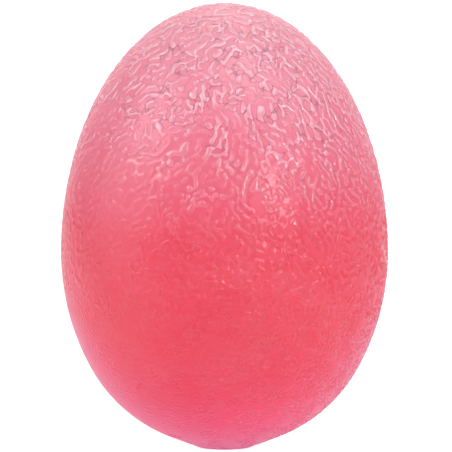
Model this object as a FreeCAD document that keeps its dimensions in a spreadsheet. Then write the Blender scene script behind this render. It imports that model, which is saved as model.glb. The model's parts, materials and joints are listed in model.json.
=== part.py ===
"""Egg-shaped finger exerciser: a soft moulded skin, the gel core inside it and the plug in its base.

The egg stands on the flat face of its plug. The origin is the centre of that face, and +Z runs up the
long axis of the egg. All lengths are in millimetres.
"""

import FreeCAD, Part
import math
import os

import Sketcher

DIMENSIONS = {
    # The egg's outside.
    "body_diameter": 45.0,  # across the waist, which is its widest level
    "body_height": 61.2,  # from the foot to the crown
    "waist_height": 26.9,
    "base_radius": 21.0,  # rounded lower end
    "base_rise": 0.1,  # how far the rounded end would stop above the plane of the foot
    "foot_diameter": 7.2,  # flat that the egg stands on
    # The skin.
    "skin_wall": 2.5,
    "seat_step": 0.4,  # flat ledge inside the skin, round the filling port, above the cavity's low point
    "port_diameter": 4.4,
    # The plug.
    "disc_thickness": 1.0,  # outer end, which closes the foot
    "head_diameter": 6.4,  # inner end, which keeps the plug behind the ledge
    "head_thickness": 1.2,
    "head_lip": 0.4,  # straight part of the head, below its taper
    "tip_diameter": 4.4,  # narrow end of the taper, which leads the head through the port
    # Room for the bond between two pieces.
    "bond_gap": 0.03,
}

# Sizes that add up from named dimensions: the share taken of each one.
BASE_CENTRE_LEVEL = {"base_radius": 1, "base_rise": 1}
SEAT_LEVEL = {"base_rise": 1, "skin_wall": 1, "seat_step": 1}
HEAD_BOTTOM = {**SEAT_LEVEL, "bond_gap": 1}
HEAD_TOP = {**HEAD_BOTTOM, "head_thickness": 1}

START, END, CENTRE = 1, 2, 3  # the points of a sketch element, as constraints number them
ORIGIN = (-1, START)
Y_AXIS = -2
QUARTER_TURN = math.pi / 2
VOLUME_TOLERANCE = 0.001  # mm3


def make_sheet(doc):
    sheet = doc.addObject("Spreadsheet::Sheet", "Dimensions")
    for row, (name, value) in enumerate(DIMENSIONS.items(), start=1):
        sheet.set(f"A{row}", name)
        sheet.set(f"B{row}", str(value))
        sheet.setAlias(f"B{row}", name)
    doc.recompute()


def amount(terms):
    """The size that terms add up to. Terms give the share taken of each named dimension."""
    return sum(share * DIMENSIONS[name] for name, share in terms.items())


def formula(terms):
    """The same sum as an expression on the sheet's cells."""
    return " + ".join(f"{share} * Dimensions.{name}" for name, share in terms.items())


def make_body(doc, name):
    body = doc.addObject("PartDesign::Body", name)
    body.Label = name
    body.Placement = FreeCAD.Placement()
    return body


def make_sketch(body, role, name):
    """An empty sketch on one of the body's own origin planes."""
    plane = next(item for item in body.Origin.OriginFeatures if item.Role == role)
    sketch = body.newObject("Sketcher::SketchObject", name)
    sketch.AttachmentSupport = (plane, [""])
    sketch.MapMode = "FlatFace"
    return sketch


def point(x, y):
    return FreeCAD.Vector(x, y, 0)


def relate(sketch, kind, *elements):
    sketch.addConstraint(Sketcher.Constraint(kind, *elements))


def drive(sketch, name, terms, kind, *elements):
    """Adds a dimension to the sketch and binds it to the sheet."""
    index = sketch.addConstraint(Sketcher.Constraint(kind, *elements, amount(terms)))
    sketch.renameConstraint(index, name)
    sketch.setExpression(f"Constraints.{name}", formula(terms))


def add_line(sketch, start, end):
    return sketch.addGeometry(Part.LineSegment(start, end), False)


def add_arc(sketch, centre, radius, start_angle, end_angle):
    circle = Part.Circle(centre, FreeCAD.Vector(0, 0, 1), radius)
    return sketch.addGeometry(Part.ArcOfCircle(circle, start_angle, end_angle), False)


def add_upper_curve(sketch, inset):
    """The half above the waist: a quarter of an ellipse that starts at the waist and ends at the crown."""
    waist_radius = {"body_diameter": 0.5, **inset}
    crown_level = {"body_height": 1, **inset}
    waist_level = {"waist_height": 1}
    centre = point(0, amount(waist_level))
    crown = point(0, amount(crown_level))
    ellipse = Part.Ellipse(crown, centre - point(amount(waist_radius), 0), centre)
    curve = sketch.addGeometry(Part.ArcOfEllipse(ellipse, -QUARTER_TURN, 0), False)
    sketch.exposeInternalGeometry(curve)
    long_axis = curve + 1
    relate(sketch, "PointOnObject", curve, CENTRE, Y_AXIS)
    relate(sketch, "PointOnObject", curve, END, Y_AXIS)
    relate(sketch, "Vertical", long_axis)
    relate(sketch, "Horizontal", curve, START, curve, CENTRE)
    drive(sketch, "waist_level", waist_level, "DistanceY", *ORIGIN, curve, CENTRE)
    drive(sketch, "crown_level", crown_level, "DistanceY", *ORIGIN, curve, END)
    drive(sketch, "waist_radius", waist_radius, "DistanceX", *ORIGIN, curve, START)
    return curve


def add_outline(sketch, inset, floor_level=None):
    """Half of the egg's section, closed along its axis and set back from the outside by inset.

    It is an ellipse above the waist, and a side arc and a base arc that flow into each other below it.
    The outline ends flat at floor_level. With no floor_level it is the egg's outside, whose base arc
    flares straight down to the rim of the foot. Elements start near their places, and the constraints
    set them exactly.
    """
    flared = floor_level is None
    base_curve = {"base_radius": 1, **inset}
    waist_radius = amount({"body_diameter": 0.5, **inset})
    waist = amount({"waist_height": 1})
    foot = amount({"foot_diameter": 0.5})
    base = amount(base_curve)
    base_level = amount(BASE_CENTRE_LEVEL)

    # The side arc's radius follows from its meeting the waist upright and the base arc smoothly.
    drop = waist - base_level
    side = (waist_radius**2 + drop**2 - base**2) / (2 * (waist_radius - base))
    meeting_angle = -math.atan2(drop, side - waist_radius)
    floor = 0 if flared else amount(floor_level)
    end_angle = -math.acos(foot / base) if flared else -math.asin((base_level - floor) / base)
    base_end = point(base * math.cos(end_angle), base_level + base * math.sin(end_angle))

    upper = add_upper_curve(sketch, inset)

    side_arc = add_arc(sketch, point(waist_radius - side, waist), side, meeting_angle, 0)
    relate(sketch, "Coincident", side_arc, END, upper, START)
    relate(sketch, "Horizontal", side_arc, CENTRE, upper, CENTRE)

    base_arc = add_arc(sketch, point(0, base_level), base, end_angle, meeting_angle)
    relate(sketch, "PointOnObject", base_arc, CENTRE, Y_AXIS)
    relate(sketch, "Tangent", base_arc, END, side_arc, START)
    drive(sketch, "base_curve", base_curve, "Radius", base_arc)
    drive(sketch, "base_level", BASE_CENTRE_LEVEL, "DistanceY", *ORIGIN, base_arc, CENTRE)

    if flared:
        flare = add_line(sketch, base_end, point(foot, 0))
        relate(sketch, "Tangent", flare, START, base_arc, START)
        drive(sketch, "foot_radius", {"foot_diameter": 0.5}, "DistanceX", *ORIGIN, flare, END)
        rim = (flare, END)
        rim_radius = foot
    else:
        rim = (base_arc, START)
        rim_radius = base_end.x

    bottom = add_line(sketch, point(rim_radius, floor), point(0, floor))
    relate(sketch, "Coincident", bottom, START, *rim)
    relate(sketch, "Horizontal", bottom)
    if flared:
        relate(sketch, "Coincident", bottom, END, *ORIGIN)
    else:
        relate(sketch, "PointOnObject", bottom, END, Y_AXIS)
        drive(sketch, "floor_level", floor_level, "DistanceY", *ORIGIN, bottom, END)

    axis = add_line(sketch, point(0, floor), point(0, amount({"body_height": 1, **inset})))
    relate(sketch, "Coincident", axis, START, bottom, END)
    relate(sketch, "Coincident", axis, END, upper, END)


def turn(body, kind, name, sketch):
    """Turns the sketch round its own vertical axis: a Revolution adds to the body and a Groove cuts it."""
    feature = body.newObject(kind, name)
    feature.Profile = sketch
    feature.ReferenceAxis = (sketch, ["V_Axis"])
    sketch.Visibility = False


def bore(body, name, diameter, depth):
    """A round pocket about the axis, from the foot's plane up to the height that depth gives."""
    sketch = make_sketch(body, "XY_Plane", f"{name}_sketch")
    ring = Part.Circle(point(0, 0), FreeCAD.Vector(0, 0, 1), amount(diameter) / 2)
    circle = sketch.addGeometry(ring, False)
    relate(sketch, "Coincident", circle, CENTRE, *ORIGIN)
    drive(sketch, "bore_diameter", diameter, "Diameter", circle)
    pocket = body.newObject("PartDesign::Pocket", name)
    pocket.Profile = sketch
    pocket.Type = "Length"
    pocket.Reversed = True  # a pocket cuts downwards unless it is reversed
    pocket.setExpression("Length", formula(depth))
    sketch.Visibility = False


def make_grip_skin(doc):
    """The moulded skin: an egg-shaped shell with a stepped filling port through its base."""
    body = make_body(doc, "grip_skin")
    outside = make_sketch(body, "XZ_Plane", "skin_outside")
    add_outline(outside, inset={})
    turn(body, "PartDesign::Revolution", "skin_solid", outside)

    inside = make_sketch(body, "XZ_Plane", "skin_inside")
    add_outline(inside, inset={"skin_wall": -1}, floor_level=SEAT_LEVEL)
    turn(body, "PartDesign::Groove", "skin_cavity", inside)

    through_depth = {**SEAT_LEVEL, "head_thickness": 1}  # runs on into the cavity
    bore(body, "port", {"port_diameter": 1}, through_depth)
    bore(body, "port_step", {"foot_diameter": 1, "bond_gap": 2}, {"disc_thickness": 1, "bond_gap": 1})
    return body


def make_gel_core(doc):
    """The soft gel that fills the cavity, with a round recess for the plug's head."""
    body = make_body(doc, "gel_core")
    outline = make_sketch(body, "XZ_Plane", "gel_outline")
    add_outline(outline, inset={"skin_wall": -1, "bond_gap": -1}, floor_level=HEAD_BOTTOM)
    turn(body, "PartDesign::Revolution", "gel_solid", outline)

    recess_top = {**HEAD_TOP, "bond_gap": 2}
    bore(body, "head_recess", {"head_diameter": 1, "bond_gap": 2}, recess_top)
    return body


def make_base_plug(doc):
    """The plug: a disc that closes the foot, a stem through the port and a tapered head behind the ledge."""
    body = make_body(doc, "base_plug")
    disc_radius = {"foot_diameter": 0.5}
    disc_top = {"disc_thickness": 1}
    stem_radius = {"port_diameter": 0.5, "bond_gap": -1}
    head_radius = {"head_diameter": 0.5}
    lip_top = {**HEAD_BOTTOM, "head_lip": 1}
    tip_radius = {"tip_diameter": 0.5}
    corners = [
        point(0, 0),
        point(amount(disc_radius), 0),
        point(amount(disc_radius), amount(disc_top)),
        point(amount(stem_radius), amount(disc_top)),
        point(amount(stem_radius), amount(HEAD_BOTTOM)),
        point(amount(head_radius), amount(HEAD_BOTTOM)),
        point(amount(head_radius), amount(lip_top)),
        point(amount(tip_radius), amount(HEAD_TOP)),
        point(0, amount(HEAD_TOP)),
    ]

    section = make_sketch(body, "XZ_Plane", "plug_section")
    next_corners = corners[1:] + corners[:1]
    lines = [add_line(section, start, end) for start, end in zip(corners, next_corners)]
    for line, next_line in zip(lines, lines[1:] + lines[:1]):
        relate(section, "Coincident", line, END, next_line, START)
    foot, disc_side, disc_back, stem, head_back, lip, taper, tip, axis = lines
    for level in (foot, disc_back, head_back, tip):
        relate(section, "Horizontal", level)
    for upright in (disc_side, stem, lip, axis):
        relate(section, "Vertical", upright)
    relate(section, "Coincident", foot, START, *ORIGIN)
    drive(section, "disc_radius", disc_radius, "DistanceX", *ORIGIN, disc_side, START)
    drive(section, "disc_top", disc_top, "DistanceY", *ORIGIN, disc_side, END)
    drive(section, "stem_radius", stem_radius, "DistanceX", *ORIGIN, stem, START)
    drive(section, "head_bottom", HEAD_BOTTOM, "DistanceY", *ORIGIN, stem, END)
    drive(section, "head_radius", head_radius, "DistanceX", *ORIGIN, lip, START)
    drive(section, "lip_top", lip_top, "DistanceY", *ORIGIN, lip, END)
    drive(section, "tip_radius", tip_radius, "DistanceX", *ORIGIN, taper, END)
    drive(section, "head_top", HEAD_TOP, "DistanceY", *ORIGIN, taper, END)
    turn(body, "PartDesign::Revolution", "plug_solid", section)
    return body


def check_document(doc):
    """Stops if a feature failed, or if a feature meant to cut left the solid's volume as it was."""
    for item in doc.Objects:
        if "Invalid" in item.State or "Error" in item.State:
            raise RuntimeError(f"{item.Name} failed: {item.State}")
        if item.TypeId == "Sketcher::SketchObject" and item.FullyConstrained is False:
            raise RuntimeError(f"{item.Name} is not fully constrained")
        if item.TypeId in ("PartDesign::Groove", "PartDesign::Pocket"):
            removed = item.BaseFeature.Shape.Volume - item.Shape.Volume
            if removed < VOLUME_TOLERANCE:
                raise RuntimeError(f"{item.Name} cuts nothing")


def export(body):
    shape = body.Shape
    if shape.isNull() or not shape.isValid() or len(shape.Solids) != 1:
        raise RuntimeError(f"{body.Label} is not one valid solid")
    shape.exportStep(f"parts/{body.Label}.step")


def main():
    doc = FreeCAD.newDocument("finger_exerciser")
    make_sheet(doc)
    bodies = [make_grip_skin(doc), make_gel_core(doc), make_base_plug(doc)]
    doc.recompute()
    check_document(doc)
    os.makedirs("parts", exist_ok=True)
    for body in bodies:
        export(body)


main()
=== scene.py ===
import json
import math

import bpy
import numpy as np
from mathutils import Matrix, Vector

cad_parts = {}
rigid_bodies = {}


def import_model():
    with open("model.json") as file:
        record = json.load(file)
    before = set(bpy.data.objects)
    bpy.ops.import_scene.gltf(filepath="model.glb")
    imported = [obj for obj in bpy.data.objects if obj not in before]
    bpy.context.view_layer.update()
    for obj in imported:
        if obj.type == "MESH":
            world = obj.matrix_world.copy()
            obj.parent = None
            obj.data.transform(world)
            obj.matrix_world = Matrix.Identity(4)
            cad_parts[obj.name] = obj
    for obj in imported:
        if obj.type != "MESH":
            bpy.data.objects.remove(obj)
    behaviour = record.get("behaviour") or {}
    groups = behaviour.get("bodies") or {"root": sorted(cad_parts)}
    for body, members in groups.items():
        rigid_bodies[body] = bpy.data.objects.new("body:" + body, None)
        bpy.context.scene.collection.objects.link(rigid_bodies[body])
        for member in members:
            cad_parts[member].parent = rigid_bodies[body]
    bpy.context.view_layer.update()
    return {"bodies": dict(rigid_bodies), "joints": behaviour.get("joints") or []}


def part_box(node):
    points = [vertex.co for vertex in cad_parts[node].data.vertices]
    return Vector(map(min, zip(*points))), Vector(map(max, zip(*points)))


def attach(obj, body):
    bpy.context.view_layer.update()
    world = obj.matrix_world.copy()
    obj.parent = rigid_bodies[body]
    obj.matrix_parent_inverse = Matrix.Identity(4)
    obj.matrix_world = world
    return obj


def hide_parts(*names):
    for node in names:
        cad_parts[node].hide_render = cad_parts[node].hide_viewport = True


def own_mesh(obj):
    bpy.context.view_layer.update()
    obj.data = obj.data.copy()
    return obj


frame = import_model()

MM = 0.001

# The egg's driving sizes, in metres, read from the frame.
skin_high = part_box("grip_skin")[1]
gel_low, gel_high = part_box("gel_core")
plug_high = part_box("base_plug")[1]
RADIUS = skin_high.x
HEIGHT = skin_high.z
FOOT_RADIUS = plug_high.x
WALL = HEIGHT - gel_high.z
LEDGE_LEVEL = gel_low.z
HEAD_TOP = plug_high.z

# The outline's other sizes, in metres.
WAIST = 26.9 * MM
BASE_RADIUS = 21.0 * MM
BASE_RISE = 0.1 * MM
PORT_RADIUS = 2.2 * MM
STEP_DEPTH = 1.03 * MM
BOND_GAP = 0.03 * MM
HEAD_RADIUS = 3.2 * MM
HEAD_LIP = 0.4 * MM
TIP_RADIUS = 2.2 * MM
EDGE_ROUND = 0.15 * MM

# The meshes: points are even along the outline. On the skin's outside, each of the first rings from an end
# has 8 more points than the last. The smooth surfaces are coarser, with the same count in every ring.
SKIN_SPACING = 0.16 * MM
CAP_RINGS = 110
PLAIN_SPACING = 0.6 * MM
PLAIN_COUNT = 128

# The moulded grain: ridges over lower ground. Its pattern is a smooth field, about -3 to 3, that climbs a
# ridge's side from SIDE_LOW to SIDE_HIGH and rounds its top from TOP_LOW to TOP_HIGH.
GRAIN_PITCH = 0.98 * MM
GRAIN_DEPTH = 0.16 * MM
SIDE_LOW, SIDE_HIGH = -0.1, 0.5
TOP_LOW, TOP_HIGH = 0.0, 1.9
TOP_SHARE = 0.50
NO_GRAIN = 9.0

# The skin's tints by level, from 0 at the foot to 1 at the crown, as linear red, green and blue.
# Painted light in these tints: the magenta at the foot is painted floor bounce, and the paler pink towards
# the crown is partly the rubber's haze, partly a painted overhead sheen.
SKIN_TINTS_AND_PAINTED_LIGHT = [
    (0.0, (0.95, 0.15, 0.40)),
    (0.05, (0.88, 0.056, 0.185)),
    (0.14, (0.84, 0.031, 0.105)),
    (0.30, (0.82, 0.026, 0.070)),
    (0.50, (0.81, 0.052, 0.108)),
    (0.70, (0.83, 0.185, 0.28)),
    (0.86, (0.86, 0.30, 0.395)),
    (1.0, (0.84, 0.39, 0.46)),
]

# The other colours, as linear red, green, blue and alpha.
CLOUD_PINK = (0.90, 0.35, 0.42, 1.0)
STREAK_CORAL = (0.86, 0.16, 0.26, 1.0)
# Painted rim light: magenta at glancing angles in the lower half.
PAINTED_LOW_RIM_MAGENTA = (0.86, 0.17, 0.40, 1.0)
# Painted shade: a deeper coral at glancing angles in the upper half, over the glancing reflection.
PAINTED_HIGH_RIM_SHADE_CORAL = (0.98, 0.15, 0.25, 1.0)
# Painted highlight on the ridges, strongest at their rims.
RIDGE_HIGHLIGHT_PINK = (0.92, 0.62, 0.70, 1.0)
# Painted shade in the creases.
CREASE_SHADE_MAUVE = (0.26, 0.08, 0.13, 1.0)
GEL_DEEP = (0.93, 0.03, 0.06, 1.0)
GEL_BRIGHT = (0.93, 0.07, 0.11, 1.0)
PLUG_DEEP = (0.84, 0.07, 0.16, 1.0)
PLUG_BRIGHT = (0.84, 0.11, 0.23, 1.0)
FLOOR_GREY = (0.6, 0.6, 0.6, 1.0)
WHITE = (1.0, 1.0, 1.0, 1.0)

# How far red, green and blue light spread in the soft rubber, as shares of the red's.
LIGHT_SPREAD = (1.0, 0.30, 0.36)

# The brightness of the room and the floor, as the object sees them and as the camera does.
ROOM_LIGHT, ROOM_LIGHT_ABOVE, ROOM_SEEN = 0.40, 0.36, 1.6
FLOOR_LIGHT, FLOOR_SEEN = 0.42, 0.9

# The camera: degrees above level, and its view in metres.
CAMERA_RISE = 5
CAMERA_DISTANCE = 0.8
VIEW_HEIGHT = 62.1 * MM
VIEW_CENTRE = (0.2 * MM, 0, 30.5 * MM)

# The lamps. For each: degrees round from the camera to its right, degrees above level, distance, width and
# height in metres, and radiance.
SOFTBOXES = {
    "overhead_softbox": (40, 62, 0.9, 0.72, 0.50, 2.05),
    "window_softbox": (38, 18, 1.2, 0.30, 0.36, 10.2),
    "left_softbox": (-66, 38, 1.0, 0.60, 0.50, 2.3),
    "right_softbox": (80, 38, 1.0, 0.14, 0.16, 9.0),
    "rear_softbox": (175, 55, 1.0, 0.40, 0.30, 2.0),
    "side_fill": (-76, 14, 1.6, 1.6, 1.4, 0.84),
    "rear_fill": (180, 22, 1.8, 2.2, 1.6, 0.7),
}

# The squeeze: the travel of the core's body, and the share of its height that the egg keeps at the limit.
squeeze = next(joint for joint in frame["joints"] if joint["name"] == "squeeze")
SQUEEZE_TRAVEL = squeeze["range_m"][1]
SQUEEZE_KEEP = 0.7


# Outlines, as points (radius, height) from the top down.

def arc(centre, radius, start, end, count=90):
    """Points on a circle's arc; angles in radians, from the level direction outwards."""
    angles = np.linspace(start, end, count)
    return np.column_stack((centre[0] + radius * np.cos(angles), centre[1] + radius * np.sin(angles)))


def egg_outline(inset, floor=None):
    """The egg's outline set back by inset: an ellipse to the waist, then a side arc and a base arc.

    It ends at the level of the floor. With no floor it is the outside, and flares down to the foot.
    """
    radius = RADIUS - inset
    crown = HEIGHT - inset
    base = BASE_RADIUS - inset
    base_level = BASE_RADIUS + BASE_RISE
    drop = WAIST - base_level
    side = (radius**2 + drop**2 - base**2) / (2 * (radius - base))
    meeting = -math.atan2(drop, side - radius)

    turn = np.linspace(math.pi / 2, 0, 160)
    upper = np.column_stack((radius * np.cos(turn), WAIST + (crown - WAIST) * np.sin(turn)))
    side_arc = arc((radius - side, WAIST), side, 0, meeting)
    if floor is None:
        reach = math.hypot(FOOT_RADIUS, base_level)
        tangent = -math.atan2(base_level, FOOT_RADIUS) + math.acos(base / reach)
        base_arc = arc((0, base_level), base, meeting, tangent)
        tail = np.array([[FOOT_RADIUS + BOND_GAP, 0]])
    else:
        base_arc = arc((0, base_level), base, meeting, -math.asin((base_level - floor) / base))
        tail = np.empty((0, 2))
    return np.vstack((upper, side_arc[1:], base_arc[1:], tail))


def even_steps(points, spacing):
    """The same outline with points evenly spaced along it."""
    lengths = np.concatenate(([0], np.cumsum(np.hypot(*np.diff(points, axis=0).T))))
    count = max(2, round(lengths[-1] / spacing) + 1)
    even = np.linspace(0, lengths[-1], count)
    return np.column_stack([np.interp(even, lengths, points[:, axis]) for axis in (0, 1)])


# Turned meshes: one ring of points for each outline point. A ring of one point is a pole.

def turned_points(outline, counts):
    """The rings' points, each ring starting on the +X side."""
    rings = []
    for (radius, level), count in zip(outline, counts):
        angles = 2 * math.pi * np.arange(count) / count
        levels = np.full(count, level)
        rings.append(np.column_stack((radius * np.cos(angles), radius * np.sin(angles), levels)))
    return np.vstack(rings)


def band(first, second, count):
    """Quads between two rings of equal count, given the numbers of their first points."""
    here = np.arange(count)
    beside = (here + 1) % count
    return np.column_stack((first + here, second + here, second + beside, first + beside))


def fan(pole, ring, count):
    """Quads that close a ring on a pole, two ring edges to each quad."""
    even = np.arange(0, count, 2)
    poles = np.full(count // 2, pole)
    return np.column_stack((poles, ring + even, ring + even + 1, ring + (even + 2) % count))


def widening_band(small, large, step):
    """Quads between two rings of a square grid that is bent into circles: 8 * step points, then 8 more."""
    small_count = max(8 * step, 1)
    large_count = 8 * (step + 1)
    along = np.arange(2 * step)
    quads = []
    for side in range(4):
        near = step * (2 * side + 1)
        far = (step + 1) * (2 * side + 1)
        quads.append(np.column_stack((
            small + (near + along) % small_count,
            large + (far + 1 + along) % large_count,
            large + (far + 2 + along) % large_count,
            small + (near + along + 1) % small_count,
        )))
        corner = small + near % small_count
        quads.append([[corner, large + far - 1, large + far, large + (far + 1) % large_count]])
    return np.vstack(quads)


def turned_faces(counts):
    """Quads between each ring and the next, given how many points each ring has."""
    starts = np.cumsum(counts) - counts
    faces = []
    for first, second, count, next_count in zip(starts, starts[1:], counts, counts[1:]):
        if count == next_count:
            faces.append(band(first, second, count))
        elif next_count == count + 8 or (count, next_count) == (1, 8):
            faces.append(widening_band(first, second, next_count // 8 - 1))
        elif next_count == count - 8:
            faces.append(widening_band(second, first, next_count // 8)[:, ::-1])
        elif count == 1:
            faces.append(fan(first, second, next_count))
        else:
            faces.append(fan(second, first, count)[:, ::-1])
    return np.vstack(faces)


def turned_mesh(name, outline, counts):
    """A closed mesh turned from an outline whose two ends lie on the axis."""
    places = turned_points(outline, counts)
    faces = turned_faces(counts)
    mesh = bpy.data.meshes.new(name)
    mesh.vertices.add(len(places))
    mesh.vertices.foreach_set("co", places.astype(np.float32).ravel())
    mesh.loops.add(faces.size)
    mesh.loops.foreach_set("vertex_index", faces.astype(np.int32).ravel())
    mesh.polygons.add(len(faces))
    mesh.polygons.foreach_set("loop_start", np.arange(0, faces.size, 4, dtype=np.int32))
    mesh.update(calc_edges=True)
    mesh.shade_smooth()
    piece = bpy.data.objects.new(name, mesh)
    bpy.context.scene.collection.objects.link(piece)
    return piece


def read_places(piece):
    places = np.empty(len(piece.data.vertices) * 3, np.float32)
    piece.data.vertices.foreach_get("co", places)
    return places.reshape(-1, 3)


def keep_at_points(piece, name, values):
    """Stores a number or a vector at every point of the mesh, for the materials to read."""
    kind, field = ("FLOAT", "value") if values.ndim == 1 else ("FLOAT_VECTOR", "vector")
    piece.data.attributes.new(name, kind, "POINT").data.foreach_set(field, values.astype(np.float32).ravel())


# The moulded grain.

def random_waves(places, normals, pitch, spread, count, seed, along=None):
    """A smooth random field on the surface, with a spread of about 1, made of waves of nearly one length.

    A wave that meets the surface head-on counts for less, as it would show there as a much longer one.
    With along, vectors of length 0 to 1, the field's shapes are drawn out in those directions.
    """
    random = np.random.default_rng(seed)
    directions = random.normal(size=(count, 3))
    directions /= np.linalg.norm(directions, axis=1, keepdims=True)
    lengths = pitch * np.exp(spread * random.normal(size=count))
    starts = random.uniform(0, 2 * math.pi, count)
    total = np.zeros(len(places))
    power = np.zeros(len(places))
    for direction, length, start in zip(directions, lengths, starts):
        weight = 1 - (normals @ direction) ** 2
        if along is not None:
            weight *= 1 - (along @ direction) ** 2
        total += weight * np.cos(places @ direction * (2 * math.pi / length) + start)
        power += weight**2 / 2
    return total / np.sqrt(power)


def smooth_step(low, high, values):
    """0 up to low, 1 from high on, and smooth between. With low above high it falls instead of rising."""
    share = np.clip((values - low) / (high - low), 0, 1)
    return share * share * (3 - 2 * share)


def ridge_directions(places, normals):
    """Which way the ridges run, as vectors of length 0 to 1.

    They run down the egg in its upper half, leaning most on the -X side, and round it near the foot.
    """
    radius = np.hypot(places[:, 0], places[:, 1])
    level = places[:, 2] / HEIGHT
    around = np.column_stack((-places[:, 1], places[:, 0], np.zeros(len(places))))
    around /= radius[:, None] + 0.01 * MM
    down = np.cross(around, normals)
    lean = -0.9 + 1.2 * smooth_step(-0.5, 0.4, places[:, 0] / RADIUS)
    leaning = (down + lean[:, None] * around) / np.hypot(1, lean)[:, None]
    upper = 0.80 * smooth_step(0.45, 0.65, level) * smooth_step(0.2, 0.5, radius / RADIUS)
    lower = 0.96 * smooth_step(0.4, 0.2, level)
    return upper[:, None] * leaning + lower[:, None] * around


def ridge_height(pattern):
    """The grain's height, 0 on the low ground to 1 on a ridge's crown."""
    side = smooth_step(SIDE_LOW, SIDE_HIGH, pattern)
    top = smooth_step(TOP_LOW, TOP_HIGH, pattern)
    return (1 - TOP_SHARE) * side + TOP_SHARE * top


def grain_fields(spots, normals):
    """The grain's pattern, and its strength from 0 to 1, at spots on the outside.

    The ridges are broad at the crown, small and faint low down, dense and soft on the upper -X side, and
    broken up by gaps, most of them on that side.
    """
    level = spots[:, 2] / HEIGHT
    side = spots[:, 0] / RADIUS
    slow = 5 * GRAIN_PITCH
    drift = np.column_stack([random_waves(spots, normals, slow, 0.3, 24, seed) for seed in (11, 12, 13)])
    bent = spots + 0.2 * GRAIN_PITCH * drift
    along = ridge_directions(spots, normals)
    small, plain, large = [
        random_waves(bent, normals, size * GRAIN_PITCH, 0.14, 100, seed, along)
        for size, seed in ((0.65, 21), (1.0, 22), (1.5, 23))
    ]
    breaks = random_waves(spots, normals, 4 * GRAIN_PITCH, 0.3, 60, 31)

    low = smooth_step(0.42, 0.28, level)
    crown = smooth_step(0.8, 0.95, level)
    soft = smooth_step(0.3, -0.6, side + 0.15 * breaks) * smooth_step(0.82, 0.62, level)
    gaps = smooth_step(0.4, -1.1, breaks + 1.3 * side) * (1 - 0.5 * smooth_step(0.7, 0.9, level))
    large_share = smooth_step(0.0, 1.6, drift[:, 0] + 1.5 * crown + 0.8 * soft)
    upper = (1 - large_share) * plain + large_share * large
    pattern = (1 - low) * upper + low * small + 0.1 - 0.6 * gaps * (1 - 0.8 * soft)

    faintness = 0.35 + 0.4 * smooth_step(1.6, -0.8, 2 * side + 0.5 * breaks)
    strength = 1 - 0.72 * gaps * (1 - 0.7 * soft)
    strength *= 1 - faintness * low
    strength *= 1 - 0.58 * soft * (1 - low)
    return pattern, strength


def add_grain(piece, outside_count):
    """Sinks the low ground between the ridges, and stores the grain for the material.

    The outside is the mesh's first points, outside_count of them. The rest, inside, have no grain.
    """
    places = read_places(piece).astype(float)
    normals = np.empty(places.size)
    piece.data.vertices.foreach_get("normal", normals)
    normals = normals.reshape(-1, 3)
    pattern = np.full(len(places), NO_GRAIN)
    strength = np.zeros(len(places))
    outside = slice(0, outside_count)
    pattern[outside], strength[outside] = grain_fields(places[outside], normals[outside])

    places -= normals * (GRAIN_DEPTH * strength * (1 - ridge_height(pattern)))[:, None]
    piece.data.vertices.foreach_set("co", places.astype(np.float32).ravel())
    piece.data.update()
    keep_at_points(piece, "grain_pattern", pattern)
    keep_at_points(piece, "grain_strength", strength)


# Node trees, for materials and for geometry.

class Tree:
    """Short calls for adding nodes. A socket is given by name or by place, as i0, i1 and so on."""

    def __init__(self, tree):
        self.tree = tree

    def node(self, kind, settings=None, **inputs):
        made = self.tree.nodes.new(kind)
        for name, value in (settings or {}).items():
            setattr(made, name, value)
        for name, value in inputs.items():
            self.feed(made, name.replace("_", " "), value)
        return made

    def feed(self, node, name, value):
        """Links a socket to a node's input, or sets the input to a number, colour or object."""
        place = int(name[1:]) if name[0] == "i" and name[1:].isdigit() else name
        if isinstance(value, bpy.types.NodeSocket):
            self.tree.links.new(value, node.inputs[place])
        else:
            node.inputs[place].default_value = value

    def math(self, operation, a, b=0.0):
        return self.node("ShaderNodeMath", {"operation": operation}, i0=a, i1=b).outputs[0]

    def product(self, first, *others):
        for other in others:
            first = self.math("MULTIPLY", first, other)
        return first

    def attribute(self, name, output="Fac"):
        return self.node("ShaderNodeAttribute", {"attribute_name": name}).outputs[output]

    def noise(self, place, scale, detail=0.0, roughness=0.5):
        inputs = {"Vector": place, "Scale": scale, "Detail": detail, "Roughness": roughness}
        return self.node("ShaderNodeTexNoise", **inputs).outputs[0]

    def smooth_step(self, value, low, high, to_low=0.0, to_high=1.0):
        settings = {"interpolation_type": "SMOOTHSTEP"}
        inputs = {"From_Min": low, "From_Max": high, "To_Min": to_low, "To_Max": to_high}
        return self.node("ShaderNodeMapRange", settings, Value=value, **inputs).outputs[0]

    def blend(self, amount, a, b):
        """A mix of two colours."""
        return self.node("ShaderNodeMix", {"data_type": "RGBA"}, i0=amount, i6=a, i7=b).outputs[2]

    def ramp(self, value, stops):
        made = self.node("ShaderNodeValToRGB", Fac=value)
        made.color_ramp.interpolation = "LINEAR"
        while len(made.color_ramp.elements) < len(stops):
            made.color_ramp.elements.new(0.5)
        for element, (place, colour) in zip(made.color_ramp.elements, stops):
            element.position = place
            element.color = (*colour, 1.0)
        return made.outputs[0]


def new_material(name):
    material = bpy.data.materials.new(name)
    material.use_nodes = True
    return material, Tree(material.node_tree), material.node_tree.nodes["Principled BSDF"]


# Materials. They read each point's place at rest in millimetres, so a noise's scale is per millimetre.

def add_light_spread(tree, shader, weight, reach):
    """Lets light spread under the surface, the red as far as reach."""
    tree.feed(shader, "Subsurface Weight", weight)
    tree.feed(shader, "Subsurface Radius", LIGHT_SPREAD)
    tree.feed(shader, "Subsurface Scale", reach)


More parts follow.
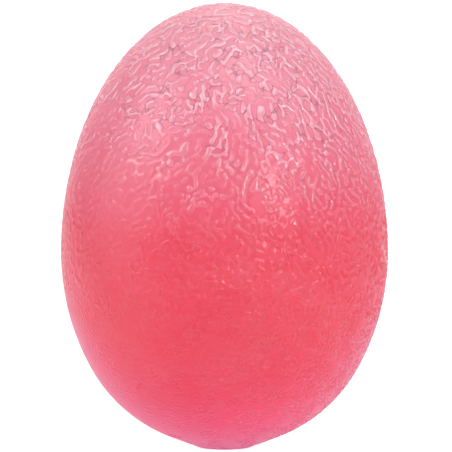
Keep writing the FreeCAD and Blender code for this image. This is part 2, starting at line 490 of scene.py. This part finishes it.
def rubber_tints_and_light(tree, place, level):
    """The skin's tint by level, partly painted light (floor bounce at the foot, overhead sheen towards the
    crown), alone and with faint clouds and level streaks over it.
    """
    level_tint_and_light = tree.ramp(level, SKIN_TINTS_AND_PAINTED_LIGHT)
    cloud = tree.smooth_step(tree.noise(place, 0.11, 3.0, 0.55), 0.3, 0.7, 0.0, 0.08)
    cloudy = tree.blend(cloud, level_tint_and_light, CLOUD_PINK)
    flat_place = tree.node("ShaderNodeVectorMath", {"operation": "MULTIPLY"}, i0=place, i1=(1.0, 1.0, 2.6))
    streak = tree.smooth_step(tree.noise(flat_place.outputs[0], 0.45, 4.0, 0.6), 0.40, 0.75, 0.0, 0.16)
    return level_tint_and_light, tree.blend(streak, cloudy, STREAK_CORAL)


def rubber_colour(tree, place, level, pattern, strength, raised, edge_on):
    """The skin's colour, with painted light: a painted magenta rim low down, a painted deeper coral at
    glancing angles high up, painted highlights on the ridges and painted shade in the creases.
    """
    level_tint_and_light, streaky = rubber_tints_and_light(tree, place, level)
    top_half = tree.smooth_step(level, 0.50, 0.80)
    low_half = tree.smooth_step(level, 0.5, 0.2)
    # Painted rim light: magenta at glancing angles in the lower half.
    low_rim_light = tree.product(tree.smooth_step(edge_on, 0.35, 0.85, 0.0, 0.45), low_half)
    low_rim_lit = tree.blend(low_rim_light, streaky, PAINTED_LOW_RIM_MAGENTA)
    # Painted shade: a deeper coral at glancing angles in the upper half, over the glancing reflection.
    high_rim_shade = tree.product(tree.smooth_step(edge_on, 0.25, 0.75, 0.0, 0.45), top_half)
    painted_rims = tree.blend(high_rim_shade, low_rim_lit, PAINTED_HIGH_RIM_SHADE_CORAL)

    # Painted highlights: paler pink on the ridges, strongest at their rims, most in the upper half and a
    # little low down.
    high_ridge_highlight = tree.smooth_step(level, 0.50, 0.80, 0.04, 0.46)
    low_ridge_highlight = tree.smooth_step(level, 0.40, 0.25, 0.0, 0.07)
    highlight_rim = tree.smooth_step(pattern, 0.4, 1.3, 1.0, 0.4)
    ridge_highlight = tree.product(raised, highlight_rim, tree.math("ADD", high_ridge_highlight, low_ridge_highlight))
    ridge_highlighted = tree.blend(ridge_highlight, painted_rims, RIDGE_HIGHLIGHT_PINK)

    # Painted shade: mauve in the creases of the upper half, less at glancing angles.
    crease_shade = tree.product(tree.smooth_step(pattern, -0.4, -0.1), tree.smooth_step(pattern, 0.2, 0.0))
    facing = tree.smooth_step(edge_on, 0.35, 0.75, 0.9, 0.15)
    shade_mauve = tree.blend(0.6, level_tint_and_light, CREASE_SHADE_MAUVE)
    return tree.blend(tree.product(crease_shade, strength, top_half, facing), ridge_highlighted, shade_mauve)


def rubber_relief(tree, place, side, pattern, strength):
    """A bump that sharpens the mesh's ridges, with the same profile, and adds a fine roughness."""
    top = tree.smooth_step(pattern, TOP_LOW, TOP_HIGH)
    ridge = tree.math("ADD", tree.product(side, 1 - TOP_SHARE), tree.product(top, TOP_SHARE))
    fine = tree.noise(place, 5.0, 3.0, 0.6)
    height = tree.math("ADD", tree.product(fine, 0.04), tree.product(ridge, strength))
    return tree.node("ShaderNodeBump", Strength=0.8, Distance=0.08 * MM, Height=height).outputs[0]


def soft_rubber_material():
    material, tree, shader = new_material("grained_soft_rubber")
    place = tree.attribute("rest_place", "Vector")
    pattern = tree.attribute("grain_pattern")
    strength = tree.attribute("grain_strength")
    level = tree.math("DIVIDE", tree.node("ShaderNodeSeparateXYZ", i0=place).outputs["Z"], HEIGHT / MM)
    side = tree.smooth_step(pattern, SIDE_LOW, SIDE_HIGH)
    raised = tree.product(side, strength)
    edge_on = tree.node("ShaderNodeLayerWeight", Blend=0.5).outputs["Facing"]

    relief = rubber_relief(tree, place, side, pattern, strength)
    upper = tree.smooth_step(level, 0.42, 0.72)
    gloss = tree.smooth_step(tree.product(raised, upper), 0.0, 1.0, 0.15, 1.0)
    coat = tree.product(gloss, tree.smooth_step(edge_on, 0.35, 0.8, 1.0, 0.2))
    tree.feed(shader, "Base Color", rubber_colour(tree, place, level, pattern, strength, raised, edge_on))
    tree.feed(shader, "Normal", relief)
    tree.feed(shader, "Roughness", tree.smooth_step(raised, 0.0, 1.0, 0.32, 0.16))
    tree.feed(shader, "IOR", 1.5)
    tree.feed(shader, "Coat Weight", coat)
    tree.feed(shader, "Coat Roughness", 0.11)
    tree.feed(shader, "Coat IOR", 1.7)
    tree.feed(shader, "Coat Normal", relief)
    add_light_spread(tree, shader, 0.7, 1.6 * MM)
    return material


def gel_material():
    material, tree, shader = new_material("soft_gel")
    place = tree.attribute("rest_place", "Vector")
    cloud = tree.noise(place, 0.12, 2.0)
    tree.feed(shader, "Base Color", tree.blend(cloud, GEL_DEEP, GEL_BRIGHT))
    tree.feed(shader, "Roughness", tree.smooth_step(tree.noise(place, 0.8, 2.0), 0.3, 0.7, 0.12, 0.22))
    add_light_spread(tree, shader, 1.0, 3.0 * MM)
    return material


def plug_material():
    material, tree, shader = new_material("plug_rubber")
    place = tree.attribute("rest_place", "Vector")
    cloud = tree.noise(place, 0.6, 2.0)
    tree.feed(shader, "Base Color", tree.blend(cloud, PLUG_DEEP, PLUG_BRIGHT))
    fine = tree.noise(place, 6.0, 3.0, 0.6)
    tree.feed(shader, "Roughness", tree.smooth_step(fine, 0.3, 0.7, 0.30, 0.48))
    bump = tree.node("ShaderNodeBump", Strength=0.3, Distance=0.02 * MM, Height=fine)
    tree.feed(shader, "Normal", bump.outputs[0])
    add_light_spread(tree, shader, 1.0, 1.5 * MM)
    return material


# Pieces.

def make_skin():
    outer = even_steps(egg_outline(0.0), SKIN_SPACING)
    port = np.array([
        (PORT_RADIUS, STEP_DEPTH),
        (PORT_RADIUS, LEDGE_LEVEL - BOND_GAP),
    ])
    step = np.array([(FOOT_RADIUS + BOND_GAP, STEP_DEPTH)])
    inner = even_steps(egg_outline(WALL - BOND_GAP, LEDGE_LEVEL - BOND_GAP), PLAIN_SPACING)[::-1]

    port_rings = round(FOOT_RADIUS / SKIN_SPACING)
    from_top = np.arange(len(outer))
    from_foot = port_rings + from_top[::-1]
    counts = 8 * np.minimum(np.minimum(from_top, from_foot), CAP_RINGS)
    counts[0] = 1
    inside_count = len(step) + len(port) + len(inner)
    counts = np.concatenate((counts, np.full(inside_count - 1, 8 * port_rings), [1]))
    skin = turned_mesh("moulded_skin", np.vstack((outer, step, port, inner)), counts)
    keep_at_points(skin, "rest_place", read_places(skin) / MM)
    add_grain(skin, counts[: len(outer) - 3].sum())
    skin.data.set_sharp_from_angle(angle=math.radians(65))
    skin.data.materials.append(soft_rubber_material())
    return skin


def plain_counts(outline):
    return np.concatenate(([1], np.full(len(outline) - 2, PLAIN_COUNT), [1]))


def make_gel():
    wall = even_steps(egg_outline(WALL, LEDGE_LEVEL), PLAIN_SPACING)
    recess = np.array([
        (HEAD_RADIUS + BOND_GAP, LEDGE_LEVEL),
        (HEAD_RADIUS + BOND_GAP, HEAD_TOP + BOND_GAP),
        (0, HEAD_TOP + BOND_GAP),
    ])
    outline = np.vstack((wall, recess))
    gel = turned_mesh("gel_filling", outline, plain_counts(outline))
    keep_at_points(gel, "rest_place", read_places(gel) / MM)
    gel.data.set_sharp_from_angle(angle=math.radians(50))
    gel.data.materials.append(gel_material())
    return gel


def make_plug():
    outline = np.array([
        (0, HEAD_TOP),
        (TIP_RADIUS, HEAD_TOP),
        (HEAD_RADIUS, LEDGE_LEVEL + HEAD_LIP),
        (HEAD_RADIUS, LEDGE_LEVEL),
        (PORT_RADIUS - BOND_GAP, LEDGE_LEVEL),
        (PORT_RADIUS - BOND_GAP, STEP_DEPTH - BOND_GAP),
        (FOOT_RADIUS, STEP_DEPTH - BOND_GAP),
        (FOOT_RADIUS, EDGE_ROUND),
        (FOOT_RADIUS - EDGE_ROUND, 0),
        (0, 0),
    ])
    plug = turned_mesh("closing_plug", outline, plain_counts(outline))
    keep_at_points(plug, "rest_place", read_places(plug) / MM)
    plug.data.set_sharp_from_angle(angle=math.radians(30))
    plug.data.materials.append(plug_material())
    return plug


def add_bulge_modifier(piece):
    """Widens the piece as the squeeze flattens it, by the share that keeps its volume."""
    group = bpy.data.node_groups.new("bulge", "GeometryNodeTree")
    group.interface.new_socket("Geometry", in_out="INPUT", socket_type="NodeSocketGeometry")
    group.interface.new_socket("Geometry", in_out="OUTPUT", socket_type="NodeSocketGeometry")
    tree = Tree(group)
    start = tree.node("NodeGroupInput")
    end = tree.node("NodeGroupOutput")
    core = tree.node("GeometryNodeObjectInfo", Object=frame["bodies"]["core"])
    travel = tree.node("ShaderNodeSeparateXYZ", i0=core.outputs["Location"]).outputs["Z"]
    share = tree.math("DIVIDE", travel, -SQUEEZE_TRAVEL)
    kept = tree.math("SUBTRACT", 1.0, tree.math("MULTIPLY", share, 1 - SQUEEZE_KEEP))
    wider = tree.math("INVERSE_SQRT", kept)
    factor = tree.node("ShaderNodeCombineXYZ", i0=wider, i1=wider, i2=1.0).outputs[0]
    place = tree.node("GeometryNodeInputPosition").outputs[0]
    wide = tree.node("ShaderNodeVectorMath", {"operation": "MULTIPLY"}, i0=place, i1=factor).outputs[0]
    moved = tree.node("GeometryNodeSetPosition", Geometry=start.outputs[0], Position=wide)
    group.links.new(moved.outputs[0], end.inputs[0])
    piece.modifiers.new("bulge", "NODES").node_group = group


def join_to_frame(piece, node, body):
    """Puts the piece on its body in place of its CAD node, to flatten towards the level of the anchor."""
    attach(piece, body)
    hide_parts(node)
    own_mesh(piece)
    add_bulge_modifier(piece)


join_to_frame(make_skin(), "grip_skin", "shell")
join_to_frame(make_plug(), "base_plug", "shell")
join_to_frame(make_gel(), "gel_core", "core")


# Studio.

def make_floor():
    """A pale floor that glows softly, and that is clear from below, so that the foot can be seen."""
    reach = 6.0
    level = -0.02 * MM
    corners = [(x * reach, y * reach, level) for x, y in ((-1, -1), (1, -1), (1, 1), (-1, 1))]
    mesh = bpy.data.meshes.new("floor")
    mesh.from_pydata(corners, [], [(0, 1, 2, 3)])
    floor = bpy.data.objects.new("floor", mesh)
    bpy.context.scene.collection.objects.link(floor)
    material = bpy.data.materials.new("pale_floor")
    material.use_nodes = True
    tree = Tree(material.node_tree)
    nodes = material.node_tree.nodes
    nodes.remove(nodes["Principled BSDF"])
    seen = tree.node("ShaderNodeLightPath").outputs["Is Camera Ray"]
    plain = tree.node("ShaderNodeBsdfDiffuse", Color=FLOOR_GREY).outputs[0]
    brightness = tree.smooth_step(seen, 0.0, 1.0, FLOOR_LIGHT, FLOOR_SEEN)
    glow = tree.node("ShaderNodeEmission", Strength=brightness).outputs[0]
    lit = tree.node("ShaderNodeAddShader", i0=plain, i1=glow).outputs[0]
    clear = tree.node("ShaderNodeBsdfTransparent").outputs[0]
    from_below = tree.node("ShaderNodeNewGeometry").outputs["Backfacing"]
    shown = tree.node("ShaderNodeMixShader", i0=from_below, i1=lit, i2=clear).outputs[0]
    material.node_tree.links.new(shown, nodes["Material Output"].inputs["Surface"])
    mesh.materials.append(material)


def make_world():
    """A pale room, a little dimmer overhead, that the camera sees as plain white."""
    world = bpy.data.worlds.new("studio")
    bpy.context.scene.world = world
    world.use_nodes = True
    tree = Tree(world.node_tree)
    nodes = world.node_tree.nodes
    seen = tree.node("ShaderNodeLightPath").outputs["Is Camera Ray"]
    ray = tree.node("ShaderNodeTexCoord").outputs["Generated"]
    up = tree.node("ShaderNodeSeparateXYZ", i0=ray).outputs["Z"]
    brightness = tree.smooth_step(up, 0.0, 1.0, ROOM_LIGHT, ROOM_LIGHT_ABOVE)
    room = tree.node("ShaderNodeBackground", Strength=brightness).outputs[0]
    wall = tree.node("ShaderNodeBackground", Strength=ROOM_SEEN).outputs[0]
    for shader in (room, wall):
        shader.node.inputs["Color"].default_value = WHITE
    mixed = tree.node("ShaderNodeMixShader", i0=seen, i1=room, i2=wall).outputs[0]
    world.node_tree.links.new(mixed, nodes["World Output"].inputs["Surface"])


def make_softbox(name, around, above, distance, width, height, radiance):
    """A rectangular lamp facing the egg's middle; around and above are degrees from the camera's side."""
    light = bpy.data.lights.new(name, "AREA")
    light.shape = "RECTANGLE"
    light.size = width
    light.size_y = height
    light.energy = radiance * math.pi * width * height
    lamp = bpy.data.objects.new(name, light)
    bpy.context.scene.collection.objects.link(lamp)
    turn, rise = math.radians(around), math.radians(above)
    direction = Vector((math.sin(turn) * math.cos(rise), -math.cos(turn) * math.cos(rise), math.sin(rise)))
    lamp.location = Vector((0, 0, HEIGHT / 2)) + distance * direction
    lamp.rotation_euler = (-direction).to_track_quat("-Z", "Y").to_euler()
    lamp.visible_camera = False


def make_camera():
    camera = bpy.data.objects.new("camera", bpy.data.cameras.new("camera"))
    bpy.context.scene.collection.objects.link(camera)
    rise = math.radians(CAMERA_RISE)
    direction = Vector((0, -math.cos(rise), math.sin(rise)))
    camera.data.lens = camera.data.sensor_width * CAMERA_DISTANCE / VIEW_HEIGHT
    camera.location = Vector(VIEW_CENTRE) + CAMERA_DISTANCE * direction
    camera.rotation_euler = (math.pi / 2 - rise, 0, 0)
    bpy.context.scene.camera = camera


make_floor()
make_world()
for lamp_name, setting in SOFTBOXES.items():
    make_softbox(lamp_name, *setting)
make_camera()
bpy.context.scene.view_settings.view_transform = "Standard"
